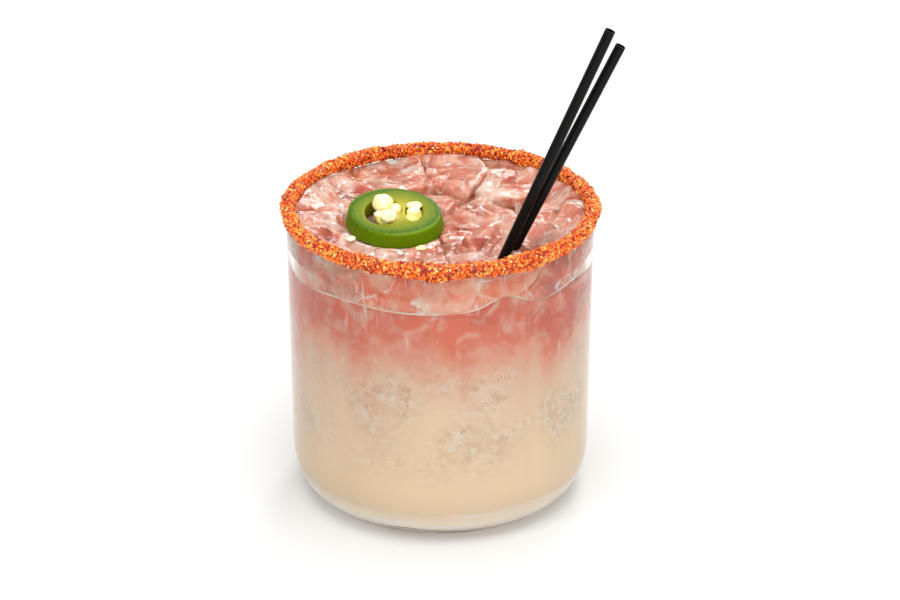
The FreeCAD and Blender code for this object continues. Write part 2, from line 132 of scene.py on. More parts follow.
def feed(tree, shader, **sockets):
    """Links or sets the shader's sockets. Underscores in the names stand for spaces."""
    for name, value in sockets.items():
        target = shader.inputs[name.replace("_", " ")]
        if isinstance(value, bpy.types.NodeSocket):
            tree.links.new(value, target)
        else:
            target.default_value = value


def ramp(tree, factor, stops, interpolation="EASE"):
    """A colour ramp through (position, hex colour) stops, fed by a factor."""
    made = add(tree, "ValToRGB", {"Fac": factor})
    band = made.color_ramp
    band.interpolation = interpolation
    while len(band.elements) < len(stops):
        band.elements.new(1.0)
    for element, (position, code) in zip(band.elements, stops):
        element.position = position
        element.color = linear(code)
    return made.outputs["Color"]


def cells_per(size_mm):
    """The texture scale at which one cell of a pattern is that many millimetres across."""
    return 1.0 / (size_mm * MM)


def facets(tree, place, size_mm, torn=0.35):
    """Broken-ice facets: a height in metres that tilts from cell to cell, a tone per cell, and 1 on edges."""
    warp = add(tree, "TexNoise", {"Vector": place, "Scale": cells_per(size_mm * 0.6), "Detail": 2.0})
    warp_mid = add(tree, "VectorMath", {0: warp.outputs["Color"], 1: (0.5, 0.5, 0.5)}, operation="SUBTRACT")
    warp_small = add(tree, "VectorMath", {0: warp_mid.outputs["Vector"], "Scale": size_mm * torn * 2 * MM},
                     operation="SCALE").outputs["Vector"]
    bent = add(tree, "VectorMath", {0: place, 1: warp_small}, operation="ADD").outputs["Vector"]
    cell = add(tree, "TexVoronoi", {"Vector": bent, "Scale": cells_per(size_mm)})
    across = add(tree, "VectorMath", {0: bent, 1: cell.outputs["Position"]}, operation="SUBTRACT")
    lean = add(tree, "VectorMath", {0: cell.outputs["Color"], 1: (0.5, 0.5, 0.5)}, operation="SUBTRACT")
    height = add(tree, "VectorMath", {0: across.outputs["Vector"], 1: lean.outputs["Vector"]},
                 operation="DOT_PRODUCT").outputs["Value"]
    tone = add(tree, "SeparateColor", {"Color": cell.outputs["Color"]}).outputs["Red"]
    border = add(tree, "TexVoronoi", {"Vector": bent, "Scale": cells_per(size_mm)},
                 feature="DISTANCE_TO_EDGE").outputs["Distance"]
    edge = add(tree, "MapRange", {"Value": border, "From Min": 0.0, "From Max": 0.35 / size_mm,
                                  "To Min": 1.0, "To Max": 0.0}).outputs[0]
    return height, tone, edge


def cracks_and_glints(tree, place):
    """Thin pale lines at a slant, partly the cracks and bubble trails of ice and partly painted glints: 0 to
    about half.
    """
    slanted = add(tree, "Mapping", {"Vector": place, "Rotation": (0.5, 0.7, 0.3),
                                    "Scale": (1.0, 1.0, 0.16)}).outputs["Vector"]
    trail = add(tree, "TexNoise", {"Vector": slanted, "Scale": cells_per(1.5), "Detail": 2.0,
                                   "Distortion": 0.4}).outputs["Fac"]
    thin = add(tree, "MapRange", {"Value": trail, "From Min": 0.60, "From Max": 0.70, "To Max": 0.7}).outputs[0]
    where = add(tree, "TexNoise", {"Vector": place, "Scale": cells_per(10.0), "Detail": 2.0}).outputs["Fac"]
    patch = add(tree, "MapRange", {"Value": where, "From Min": 0.48, "From Max": 0.60}).outputs[0]
    return add(tree, "Math", {0: thin, 1: patch}, operation="MULTIPLY").outputs[0]


# %% [markdown]
# A piece is finished the same way each time: it becomes an object at the origin, rides on the
# body, takes its material, and hides the CAD nodes that it stands for.

# %% Piece helpers
def make_piece(name, mesh, material, stands_for=(), smooth=True):
    """Puts a mesh into the scene as one piece of the object."""
    mesh.name = name
    mesh.materials.clear()
    mesh.materials.append(material)
    mesh.polygons.foreach_set("use_smooth", [smooth] * len(mesh.polygons))
    piece = bpy.data.objects.new(name, mesh)
    bpy.context.scene.collection.objects.link(piece)
    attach(piece, "root")
    if stands_for:
        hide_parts(*stands_for)
    return piece


def close_mesh(bm, name):
    """Turns a bmesh into a mesh whose faces point outwards, with its doubles merged."""
    bmesh.ops.remove_doubles(bm, verts=bm.verts, dist=0.002 * MM)
    bmesh.ops.recalc_face_normals(bm, faces=bm.faces)
    mesh = bpy.data.meshes.new(name)
    bm.to_mesh(mesh)
    bm.free()
    return mesh


def line_to(bm, tip, across, up, steps=1):
    """Draws on from the vertex at the tip to a point across and up, in mm, and returns its end."""
    start = tip.co.copy()
    end = Vector((across * MM, 0.0, up * MM))
    for step in range(1, steps + 1):
        made = bmesh.ops.extrude_vert_indiv(bm, verts=[tip])
        tip = made["verts"][0]
        tip.co = start.lerp(end, step / steps)
    return tip


def arc_to(bm, tip, centre, angle, steps):
    """Turns the vertex at the tip about a centre in mm, drawing an arc, and returns its end."""
    made = bmesh.ops.spin(
        bm, geom=[tip], cent=(centre[0] * MM, 0.0, centre[1] * MM), axis=(0.0, 1.0, 0.0),
        angle=math.radians(angle), steps=steps, use_merge=False, use_duplicate=False)
    return [item for item in made["geom_last"] if isinstance(item, bmesh.types.BMVert)][0]


def turn_full(bm, steps):
    """Turns a drawn profile once round the upright axis."""
    bmesh.ops.spin(
        bm, geom=list(bm.verts) + list(bm.edges), cent=(0.0, 0.0, 0.0), axis=(0.0, 0.0, 1.0),
        angle=math.tau, steps=steps, use_merge=True, use_duplicate=False)


# %% [markdown]
# The tumbler is soda-lime glass, pressed and fire polished: straight walls with a slight flare, a
# rounded heel and a thick flat bottom. A turned shape is best drawn as half an outline and spun,
# as a glass maker spins it. The outline is drawn with a pen that knows lines and arcs, and the
# spin has enough steps that the silhouette shows no corners.

# %% Tumbler shape
FOOT_EDGE = 33.21
RIM_HEIGHT = 89.2
STEEP = 17.58
TAPER = 0.38


def draw_inside(bm, tip, grow, wall_top, wall_steps):
    """Draws the bowl's inside from its floor up to a height, grown by so much into the glass."""
    tip = line_to(bm, tip, FOOT_EDGE, 4.2 - grow, 6)
    belly = (21.10, 16.84)
    tip = arc_to(bm, tip, (FOOT_EDGE, 13.0), STEEP - 90.0, 14)
    tip = arc_to(bm, tip, belly, TAPER - STEEP, 6)
    top_radius = 42.60 + grow + (wall_top - 16.69) * math.tan(math.radians(TAPER))
    return line_to(bm, tip, top_radius, wall_top, wall_steps)


def make_tumbler():
    """The glass: an outer outline, a rounded lip and an inner outline, spun once round."""
    bm = bmesh.new()
    tip = bm.verts.new((0.0, 0.0, 0.0))
    tip = line_to(bm, tip, FOOT_EDGE, 0.0, 3)
    tip = arc_to(bm, tip, (FOOT_EDGE, 10.7), STEEP - 90.0, 16)
    tip = arc_to(bm, tip, (21.10, 14.54), TAPER - STEEP, 6)
    tip = line_to(bm, tip, 44.99, RIM_HEIGHT - 0.86, 12)
    tip = line_to(bm, tip, 44.74, RIM_HEIGHT - 0.26, 1)
    tip = line_to(bm, tip, 44.04, RIM_HEIGHT, 1)
    tip = line_to(bm, tip, 43.34, RIM_HEIGHT - 0.26, 1)
    last_outside = tip
    tip = bm.verts.new((0.0, 0.0, 4.2 * MM))
    tip = draw_inside(bm, tip, 0.0, RIM_HEIGHT - 0.86, 12)
    bm.edges.new((tip, last_outside))
    turn_full(bm, 160)
    return close_mesh(bm, "tumbler")


tumbler_mesh = make_tumbler()
print("tumbler:", len(tumbler_mesh.polygons), "faces")

# %% [markdown]
# Clear glass is seen by what it bends and mirrors, so its shader has no colour to speak of: full
# transmission, the refractive index of soda-lime glass, and a polish only just short of perfect.
# A very faint waviness from the mould keeps the reflections from being ruler straight, and a weak
# warm absorption darkens the edges, where the eye looks along the wall.

# %% Tumbler finish
def soda_lime_glass():
    """Pressed, fire-polished soda-lime glass: bright edges, soft bent reflections."""
    material, tree, shader, place = start_material("soda_lime_glass")
    ripple = add(tree, "TexNoise", {"Vector": place, "Scale": cells_per(26.0), "Detail": 1.0})
    wave = add(tree, "Bump", {"Height": ripple.outputs["Fac"], "Strength": 0.05, "Distance": 1.0 * MM})
    feed(tree, shader, Base_Color=linear("#fbfdfb"), Transmission_Weight=1.0, IOR=1.5, Roughness=0.02,
         Normal=wave.outputs["Normal"])
    tint = add(tree, "VolumeAbsorption", {"Color": linear("#d8c9b8"), "Density": 60.0})
    tree.links.new(tint.outputs["Volume"], tree.nodes["Material Output"].inputs["Volume"])
    return material


tumbler = make_piece("tumbler_glass", tumbler_mesh, soda_lime_glass(), ["tumbler"])
print("tumbler stands", round(tumbler.dimensions.z / MM, 1), "mm high")

# %% [markdown]
# The drink is lime juice and tequila, cloudy and pale, with a red syrup melting down from the ice
# above. It touches the glass everywhere, so its skin reaches a little way into the wall and no
# film of air can show between them. Its top follows the wall in a wave, because the ice pulls the
# liquid up where it touches the glass.

# %% Drink shape
LEVEL = 75.0
REACH = 0.3
# Each lift of the level at the wall: its direction in degrees from the front, height and width.
LIFTS = ((25.0, 3.8, 9.0), (92.0, -1.6, 16.0), (-62.0, -0.9, 14.0), (-120.0, 1.6, 12.0),
         (150.0, 2.2, 10.0), (60.0, 0.9, 8.0), (-165.0, -1.2, 12.0))


def lift_at(x, y):
    """How far the liquid stands above its level beside the wall there, in mm."""
    angle = math.degrees(math.atan2(x, -y))
    lift = 0.25 * math.sin(math.radians(angle * 7.0))
    for centre, height, width in LIFTS:
        away = (angle - centre + 180.0) % 360.0 - 180.0
        lift += height * math.exp(-(away / width) ** 2)
    return lift


def make_drink():
    """A solid turned body whose upper edge is lifted into the wave."""
    bm = bmesh.new()
    tip = bm.verts.new((0.0, 0.0, (4.2 - REACH) * MM))
    tip = draw_inside(bm, tip, REACH, LEVEL, 36)
    tip = line_to(bm, tip, 0.0, LEVEL, 28)
    turn_full(bm, 192)
    for vertex in bm.verts:
        height = vertex.co.z / MM
        near_top = max(0.0, min(1.0, (height - 52.0) / (LEVEL - 52.0)))
        out = min(1.0, math.hypot(vertex.co.x, vertex.co.y) / (43.0 * MM))
        vertex.co.z += lift_at(vertex.co.x, vertex.co.y) * near_top * out ** 6 * MM
    return close_mesh(bm, "drink")


drink_mesh = make_drink()
print("drink:", len(drink_mesh.polygons), "faces")

# %% [markdown]
# The look of the drink is nearly all colour and depth. The colour runs from salmon at the top to
# pale lime-beige at the bottom, and the border is torn by streaks of syrup, so a stretched noise
# moves the height that the ramp reads. Crushed ice hangs in the middle as pale flecks, and sunken
# ice higher up has painted highlights on its edges and painted glints. At the foot, painted rings
# of reflection and shade and a faint painted glow stand in for what the thick glass bottom mirrors
# and gathers. A little light passes under the skin, which is what makes a cloudy liquid look soft.

# %% Drink finish
def cloudy_lime_drink():
    """Cloudy citrus drink with red syrup sinking in: soft, wet, lit from inside, with painted highlights on
    sunken ice and a painted reflection and glow at its foot.
    """
    material, tree, shader, place = start_material("cloudy_lime_drink")
    height = add(tree, "SeparateXYZ", {"Vector": place}).outputs["Z"]
    tall = add(tree, "Mapping", {"Vector": place, "Rotation": (0.0, 0.0, 2.2), "Scale": (1.0, 1.0, 0.30)}
               ).outputs["Vector"]
    streaks = add(tree, "TexNoise", {"Vector": tall, "Scale": cells_per(13.0), "Detail": 4.0,
                                     "Roughness": 0.55, "Distortion": 0.6}).outputs["Fac"]
    reach = add(tree, "MapRange", {"Value": height, "From Min": 50.0 * MM, "From Max": 74.0 * MM,
                                   "To Min": 46.0 * MM, "To Max": 12.0 * MM}).outputs[0]
    centred = add(tree, "Math", {0: streaks, 1: 0.5}, operation="SUBTRACT").outputs[0]
    moved = add(tree, "Math", {0: centred, 1: reach}, operation="MULTIPLY").outputs[0]
    torn = add(tree, "Math", {0: height, 1: moved}, operation="ADD").outputs[0]
    level = add(tree, "MapRange", {"Value": torn, "From Min": 0.0, "From Max": 80.0 * MM}).outputs[0]
    body = ramp(tree, level, [(0.05, "#fde4c4"), (0.30, "#fce3c2"), (0.50, "#f5dcc0"), (0.60, "#f1d2b8"),
                              (0.71, "#efb497"), (0.82, "#ea8164"), (1.0, "#e66c4e")], "LINEAR")
    clouds = add(tree, "TexNoise", {"Vector": place, "Scale": cells_per(16.0), "Detail": 5.0,
                                    "Roughness": 0.6}).outputs["Fac"]
    deepness = add(tree, "MapRange", {"Value": height, "From Min": 40.0 * MM, "From Max": 66.0 * MM,
                                      "To Min": 0.9, "To Max": 0.1}).outputs[0]
    pale = add(tree, "MapRange", {"Value": clouds, "From Min": 0.55, "From Max": 0.85,
                                  "To Max": deepness}).outputs[0]
    milky = add(tree, "Mix", {"Factor": pale, "A": body, "B": linear("#f8e2cc")},
                data_type="RGBA").outputs["Result"]

    # sunken ice: facets near the top with painted highlights along their edges and painted glints along cracks,
    # fine crushed flecks lower down where a broad noise allows them
    facet_height, facet_tone, facet_edge = facets(tree, place, 9.0)
    high = add(tree, "MapRange", {"Value": height, "From Min": 42.0 * MM, "From Max": 72.0 * MM}).outputs[0]
    lit = add(tree, "MapRange", {"Value": facet_tone, "From Min": 0.55, "From Max": 0.95,
                                 "To Max": 0.10}).outputs[0]
    torn_off = add(tree, "MapRange", {"Value": clouds, "From Min": 0.45, "From Max": 0.62, "To Max": 0.16}
                   ).outputs[0]
    lines = add(tree, "Math", {0: facet_edge, 1: torn_off, 2: lit}, operation="MULTIPLY_ADD").outputs[0]
    painted_highlight_share = add(tree, "Math", {0: lines, 1: high}, operation="MULTIPLY").outputs[0]
    sunken = add(tree, "TexNoise", {"Vector": place, "Scale": cells_per(9.0), "Detail": 3.0,
                                    "Distortion": 1.6}).outputs["Fac"]
    blocks = add(tree, "MapRange", {"Value": sunken, "From Min": 0.48, "From Max": 0.66,
                                    "To Max": 0.55}).outputs[0]
    pale_blocks = add(tree, "Math", {0: blocks, 1: high}, operation="MULTIPLY").outputs[0]
    blocky = add(tree, "Mix", {"Factor": pale_blocks, "A": milky, "B": linear("#f6d2be")},
                 data_type="RGBA").outputs["Result"]
    with_painted_edge_highlights = add(tree, "Mix", {"Factor": painted_highlight_share, "A": blocky, "B": linear("#fff0e4")},
                data_type="RGBA").outputs["Result"]
    # painted glints: pale slanted lines, partly the whitish cracks of sunken ice
    crack_glints = cracks_and_glints(tree, place)
    glinting = add(tree, "Math", {0: crack_glints, 1: high}, operation="MULTIPLY").outputs[0]
    icy = add(tree, "Mix", {"Factor": glinting, "A": with_painted_edge_highlights, "B": linear("#fff6ea")},
              data_type="RGBA").outputs["Result"]
    turned = add(tree, "Mapping", {"Vector": place, "Rotation": (0.0, 0.0, -0.9)}).outputs["Vector"]
    where = add(tree, "TexNoise", {"Vector": turned, "Scale": cells_per(22.0), "Detail": 2.0}).outputs["Fac"]
    band = add(tree, "MapRange", {"Value": height, "From Min": 18.0 * MM, "From Max": 34.0 * MM}).outputs[0]
    under = add(tree, "MapRange", {"Value": height, "From Min": 50.0 * MM, "From Max": 61.0 * MM,
                                   "To Min": 1.0, "To Max": 0.0}).outputs[0]
    patch = add(tree, "MapRange", {"Value": where, "From Min": 0.45, "From Max": 0.60}).outputs[0]
    between = add(tree, "Math", {0: band, 1: under}, operation="MULTIPLY").outputs[0]
    allowed = add(tree, "Math", {0: patch, 1: between}, operation="MULTIPLY").outputs[0]
    fine_height, fine_tone, _ = facets(tree, place, 1.6, 0.8)
    fleck = ramp(tree, fine_tone, [(0.0, "#dcc0a6"), (0.25, "#ecd2b8"), (0.75, "#fae6ce"), (1.0, "#fffdf8")])
    share = add(tree, "Math", {0: allowed, 1: 0.6}, operation="MULTIPLY").outputs[0]
    crushed = add(tree, "Mix", {"Factor": share, "A": icy, "B": fleck}, data_type="RGBA").outputs["Result"]

    # the underside and heel are painted with rings of reflection and shade, standing in for the table that the
    # thick clear glass foot mirrors
    flat = add(tree, "Mapping", {"Vector": place, "Scale": (1.0, 1.0, 0.0)}).outputs["Vector"]
    radius = add(tree, "VectorMath", {0: flat}, operation="LENGTH").outputs["Value"]
    sway = add(tree, "TexNoise", {"Vector": place, "Scale": cells_per(30.0), "Detail": 1.0}).outputs["Fac"]
    swept = add(tree, "Math", {0: sway, 1: 9.0 * MM, 2: radius}, operation="MULTIPLY_ADD").outputs[0]
    painted_ring_reflection = add(tree, "TexNoise", {"W": swept, "Scale": cells_per(2.2), "Detail": 3.0},
                noise_dimensions="1D").outputs["Fac"]
    # painted reflection and shade: dark and pale rings standing in for the table mirrored in the foot
    ground = ramp(tree, painted_ring_reflection, [(0.36, "#6e5a4a"), (0.42, "#cdbaa6"), (0.46, "#fff8ee"), (0.54, "#efe0d0"),
                                (0.60, "#ffffff")], "LINEAR")
    above_painted_foot = add(tree, "MapRange", {"Value": height, "From Min": 5.0 * MM, "From Max": 11.0 * MM}).outputs[0]
    whole = add(tree, "Mix", {"Factor": above_painted_foot, "A": ground, "B": crushed}, data_type="RGBA").outputs["Result"]

    # painted glow: the foot's rings also glow faintly, standing in for light that the glass foot gathers
    gathered = add(tree, "MapRange", {"Value": height, "From Min": 5.0 * MM, "From Max": 10.0 * MM,
                                      "To Min": 0.34, "To Max": 0.0}).outputs[0]

    deep = add(tree, "Math", {0: facet_height, 1: high}, operation="MULTIPLY").outputs[0]
    fine = add(tree, "Math", {0: fine_height, 1: allowed}, operation="MULTIPLY").outputs[0]
    relief = add(tree, "Math", {0: fine, 1: 0.7, 2: deep}, operation="MULTIPLY_ADD").outputs[0]
    bump = add(tree, "Bump", {"Height": relief, "Strength": 0.8, "Distance": 1.0}).outputs["Normal"]
    feed(tree, shader, Base_Color=whole, Roughness=0.45, IOR=1.34, Specular_IOR_Level=0.12,
         Subsurface_Weight=0.25, Subsurface_Radius=(1.0, 0.6, 0.4), Subsurface_Scale=3.0 * MM,
         Emission_Color=ground, Emission_Strength=gathered, Normal=bump)
    return material


drink = make_piece("cloudy_drink", drink_mesh, cloudy_lime_drink(), ["drink"])
print("drink stands", round(drink.dimensions.z / MM, 1), "mm high")

# %% [markdown]
# Where the drink meets the glass it climbs the wall in a thin curved edge; its bright line of light is
# painted into its colour. It is a ring of small section, turned once round and lifted with the same wave.

# %% Bright edge of the drink
def make_edge():
    """A thin ring along the line where the drink meets the glass."""
    bm = bmesh.new()
    bmesh.ops.create_circle(bm, segments=10, radius=0.42 * MM, matrix=Matrix.Translation(
        (42.85 * MM, 0.0, LEVEL * MM)) @ Matrix.Rotation(math.radians(90.0), 4, "X"))
    turn_full(bm, 240)
    for vertex in bm.verts:
        vertex.co.z += lift_at(vertex.co.x, vertex.co.y) * MM
    return close_mesh(bm, "edge")


def liquid_edge_painted_bright():
    """The rounded edge of the liquid: glossy, tinted by the drink and painted nearly white as a highlight."""
    material, tree, shader, place = start_material("liquid_edge_painted_highlight")
    vary = add(tree, "TexNoise", {"Vector": place, "Scale": cells_per(7.0), "Detail": 3.0}).outputs["Fac"]
    # painted highlight: the colour runs from the drink's salmon to almost white
    colour = ramp(tree, vary, [(0.38, "#f2ae90"), (0.5, "#fbd8bf"), (0.6, "#fff4e6")])
    feed(tree, shader, Base_Color=colour, Roughness=0.12, IOR=1.34, Coat_Weight=0.5)
    return material


make_piece("drink_edge", make_edge(), liquid_edge_painted_bright())
print("the bright edge follows", len(LIFTS), "lifts")

# %% [markdown]
# Round the large chunks lies a bed of broken ice that fills the glass from wall to wall. It is one
# turned body with a fine top, and the top is cut into plates: each point takes the height and
# the tilt of the nearest plate, and a little smoothing melts the steps between them. The plates
# stay under the slice of pepper, so that it lies on them.

# %% Broken ice shape
SLICE_LOW, SLICE_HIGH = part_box("jalapeno_ring")
SLICE_MIDDLE = (SLICE_LOW + SLICE_HIGH) / 2
SLICE_TURN = -28.0
SLICE_TILT = 8.8
SLICE_THICKNESS = 4.5
PLATE_COUNT = 68
STRAW_ENTRY = Vector((18.0, -18.5))


def ridged(point, size_mm):
    """A noise of soft dents between sharper ridges, from 0 in a dent to 1 on a ridge."""
    return 1.0 - abs(noise.noise(point / (size_mm * MM)))


def ice_plates(count, seed):
    """Plates of broken ice: each a middle in mm, a height offset and a tilt."""
    rng = random.Random(seed)
    plates = []
    while len(plates) < count:
        middle = Vector((rng.uniform(-43, 43), rng.uniform(-43, 43)))
        if middle.length < 44 and all((middle - other[0]).length > 5.6 for other in plates):
            tilt = Vector((rng.uniform(-0.42, 0.42), rng.uniform(-0.42, 0.42)))
            plates.append((middle, rng.uniform(-1.0, 1.0), tilt))
    return plates


def under_slice(x, y):
    """The height in mm that keeps a point below the slice of pepper."""
    away = Vector((x - SLICE_MIDDLE.x / MM, y - SLICE_MIDDLE.y / MM))
    underside = SLICE_MIDDLE.z / MM - SLICE_THICKNESS / 2 + away.y * math.tan(math.radians(SLICE_TILT))
    return underside - 0.3 + max(0.0, away.length - 13.5) * 0.8


def plate_height(x, y, plates):
    """How high the broken ice stands there, in mm."""
    place = Vector((x, y))
    middle, offset, tilt = min(plates, key=lambda plate: (plate[0] - place).length)
    out = min(1.0, place.length / 43.0)
    height = 82.6 + 5.4 * out ** 3 + offset * (1.0 - 0.6 * out) + tilt.dot(place - middle)
    height = max(height, 80.0 + 7.6 * out ** 8)
    dip = 3.4 * math.exp(-((place - STRAW_ENTRY).length / 7.0) ** 2)
    return min(height - dip, under_slice(x, y), 88.2)


def make_bed():
    """The bed of broken ice: a turned body whose top is cut into plates."""
    plates = ice_plates(PLATE_COUNT, 8)
    bm = bmesh.new()
    tip = bm.verts.new((0.0, 0.0, 70.0 * MM))
    tip = line_to(bm, tip, 42.6, 70.0, 4)
    tip = line_to(bm, tip, 43.15, 82.0, 20)
    tip = line_to(bm, tip, 0.0, 82.0, 66)
    turn_full(bm, 256)
    top = [vertex for vertex in bm.verts if vertex.co.z > 81.9 * MM]
    for vertex in top:
        vertex.co.z = plate_height(vertex.co.x / MM, vertex.co.y / MM, plates) * MM
    for _ in range(2):
        bmesh.ops.smooth_vert(bm, verts=top, factor=0.5, use_axis_z=True)
    for vertex in top:
        vertex.co.z += 0.35 * (ridged(vertex.co, 4.0) - 0.8) * MM
    return close_mesh(bm, "bed")


# %% [markdown]
# Ice in a drink has melted: its corners are round, its faces are dished, and red liquid runs over
# it. The CAD chunk has the right size, place and flat faces. A copy of it is remeshed into even
# small faces, so that every face can move, then smoothed and dented with a noise that has its
# large dents across a face and its small ones along it. The dents stop at the glass.

# %% Ice shape
ICE_VOXEL = 0.62
ICE_WALL = 42.45
ICE_NAMES = sorted(name for name in NODES if name.startswith("ice_"))


def even_copy(node_name, voxel):
    """A merged copy of a CAD node's mesh, remeshed into even faces of about a voxel."""
    bm = bmesh.new()
    bm.from_mesh(NODES[node_name].data)
    bmesh.ops.remove_doubles(bm, verts=bm.verts, dist=0.01 * MM)
    mesh = bpy.data.meshes.new("even")
    bm.to_mesh(mesh)
    bm.free()
    holder = bpy.data.objects.new("even", mesh)
    bpy.context.scene.collection.objects.link(holder)
    remesh = holder.modifiers.new("even", "REMESH")
    remesh.mode = "VOXEL"
    remesh.voxel_size = voxel * MM
    seen = holder.evaluated_get(bpy.context.evaluated_depsgraph_get())
    result = bpy.data.meshes.new_from_object(seen)
    bpy.data.objects.remove(holder)
    bpy.data.meshes.remove(mesh)
    return result


def melt(mesh, shift):
    """Rounds the faces and dents them, as melting does."""
    bm = bmesh.new()
    bm.from_mesh(mesh)
    for _ in range(6):
        bmesh.ops.smooth_vert(bm, verts=bm.verts, factor=0.5, use_axis_x=True, use_axis_y=True,
                              use_axis_z=True)
    bm.normal_update()
    for vertex in bm.verts:
        place = vertex.co + shift
        dent = 1.5 * (ridged(place, 9.0) - 0.85) + 0.3 * (ridged(place, 3.2) - 0.8)
        vertex.co += vertex.normal * dent * MM
        vertex.co.z = min(vertex.co.z, under_slice(vertex.co.x / MM, vertex.co.y / MM) * MM)
        out = math.hypot(vertex.co.x, vertex.co.y) / MM
        if out > ICE_WALL:
            vertex.co.x *= ICE_WALL / out
            vertex.co.y *= ICE_WALL / out
    return close_mesh(bm, "ice")


# %% [markdown]
# Ice in a red drink is half clear and half cloudy. Light goes in, is tinted and comes out again,
# so part of the shader transmits and part is a pale body colour with red gathered in it. Fine
# ripples in the normal give the many small glints of wet ice.

# %% Ice finish
def ice_colour(tree, place, stops, size_mm):
    """Facets of ice with red gathered between them and painted highlights on some edges: colour, relief in
    metres and the gathering noise.
    """
    gather = add(tree, "TexNoise", {"Vector": place, "Scale": cells_per(12.0), "Detail": 4.0,
                                    "Roughness": 0.6, "Distortion": 1.0}).outputs["Fac"]
    height, tone, edge = facets(tree, place, size_mm)
    varied = add(tree, "Math", {0: tone, 1: 0.24, 2: gather}, operation="MULTIPLY_ADD").outputs[0]
    body = ramp(tree, varied, stops)
    # painted highlights: some facet edges are mixed towards almost white
    part = add(tree, "TexNoise", {"Vector": place, "Scale": cells_per(5.0), "Detail": 1.0}).outputs["Fac"]
    painted_highlight_share = add(tree, "MapRange", {"Value": part, "From Min": 0.48, "From Max": 0.62, "To Max": 0.8}).outputs[0]
    lines = add(tree, "Math", {0: edge, 1: painted_highlight_share}, operation="MULTIPLY").outputs[0]
    colour = add(tree, "Mix", {"Factor": lines, "A": body, "B": linear("#fff8f0")},
                 data_type="RGBA").outputs["Result"]
    broad = add(tree, "TexNoise", {"Vector": place, "Scale": cells_per(2.8), "Detail": 3.0,
                                   "Roughness": 0.55}).outputs["Fac"]
    relief = add(tree, "Math", {0: broad, 1: 0.28 * MM, 2: height}, operation="MULTIPLY_ADD").outputs[0]
    return colour, relief, gather


def wet_ice():
    """Melting freezer ice, wet with red drink: cloudy inside, glossy and broken outside, with painted
    highlights on some facet edges.
    """
    material, tree, shader, place = start_material("wet_ice")
    stops = [(0.42, "#dc6f52"), (0.54, "#e88f72"), (0.66, "#f2b69c"), (0.78, "#f8d2c0"), (0.90, "#fffaf4")]
    colour, relief, gather = ice_colour(tree, place, stops, 8.5)
    clear = add(tree, "MapRange", {"Value": gather, "From Min": 0.35, "From Max": 0.65,
                                   "To Min": 0.58, "To Max": 0.40}).outputs[0]
    bump = add(tree, "Bump", {"Height": relief, "Strength": 0.9, "Distance": 1.0}).outputs["Normal"]
    feed(tree, shader, Base_Color=colour, Transmission_Weight=clear, IOR=1.31, Roughness=0.12,
         Subsurface_Weight=0.35, Subsurface_Radius=(1.0, 0.5, 0.35), Subsurface_Scale=3.0 * MM,
         Coat_Weight=0.7, Coat_Roughness=0.03, Coat_IOR=1.33, Normal=bump)
    return material


def ice_behind_glass():
    """The same ice pressed against the wall: no gloss of its own, deeper red, painted highlights on broken
    edges and painted glints along cracks.
    """
    material, tree, shader, place = start_material("ice_behind_glass")
    stops = [(0.42, "#ec6c4e"), (0.55, "#f28c6c"), (0.68, "#f8b498"), (0.80, "#fdd6c2"), (0.90, "#fffaf4")]
    blocks, relief, _ = ice_colour(tree, place, stops, 11.0)
    # cracks and bubble trails with painted glints, mixed towards almost white
    colour = add(tree, "Mix", {"Factor": cracks_and_glints(tree, place), "A": blocks, "B": linear("#fff8f0")},
                 data_type="RGBA").outputs["Result"]
    bump = add(tree, "Bump", {"Height": relief, "Strength": 1.0, "Distance": 1.0}).outputs["Normal"]
    feed(tree, shader, Base_Color=colour, Roughness=0.35, IOR=1.31, Specular_IOR_Level=0.15,
         Subsurface_Weight=0.3, Subsurface_Radius=(1.0, 0.5, 0.35), Subsurface_Scale=2.5 * MM, Normal=bump)
    return material


ICE_FINISH = wet_ice()
bed = make_piece("broken_ice", make_bed(), ICE_FINISH)
bed.data.materials.append(ice_behind_glass())
for face in bed.data.polygons:
    middle = face.center
    if math.hypot(middle.x, middle.y) > 42.45 * MM and abs(face.normal.z) < 0.5:
        face.material_index = 1
print("broken ice:", len(bed.data.polygons), "faces")
for index, name in enumerate(ICE_NAMES):
    melted = melt(even_copy(name, ICE_VOXEL), Vector((index * 0.1, 0.0, 0.0)))
    make_piece("wet_" + name, melted, ICE_FINISH, [name])
print(len(ICE_NAMES), "chunks of melted ice")


def bed_top(mesh):
    """Only the open top of the bed, away from the wall, the slice and the straws."""
    bm = bmesh.new()
    bm.from_mesh(mesh)
    unwanted = []
    for face in bm.faces:
        middle = face.calc_center_median() / MM
        flat = Vector((middle.x, middle.y))
        by_slice = (flat - Vector((SLICE_MIDDLE.x, SLICE_MIDDLE.y)) / MM).length < 14.5
        if middle.z < 77.0 or flat.length > 39.5 or by_slice or (flat - STRAW_ENTRY).length < 4.0:
            unwanted.append(face)
    bmesh.ops.delete(bm, geom=unwanted, context="FACES")
    top = bpy.data.meshes.new("bed_top")
    bm.to_mesh(top)
    bm.free()
    return top

# %% [markdown]
# The crust is chilli and salt pressed on to a wet rim. One rough body carries the colour between
# the grains, and the grains are real: thousands of small crystals lying at all angles. Geometry
# nodes scatter them over the body, and the result is made into a plain mesh, so the piece can
# be carried anywhere. Each grain keeps its own tone in an attribute.

# %% Scattering helper
def grain_shape(name, squash, roughness, seed):
    """One small crystal, about 1 mm across: an icosahedron pulled out of shape."""
    rng = random.Random(seed)
    bm = bmesh.new()
    bmesh.ops.create_icosphere(bm, subdivisions=1, radius=0.5 * MM)
    for vertex in bm.verts:
        vertex.co *= 1.0 + rng.uniform(-roughness, roughness)
        vertex.co.z *= squash
    mesh = bpy.data.meshes.new(name)
    bm.to_mesh(mesh)
    bm.free()
    return bpy.data.objects.new(name, mesh)


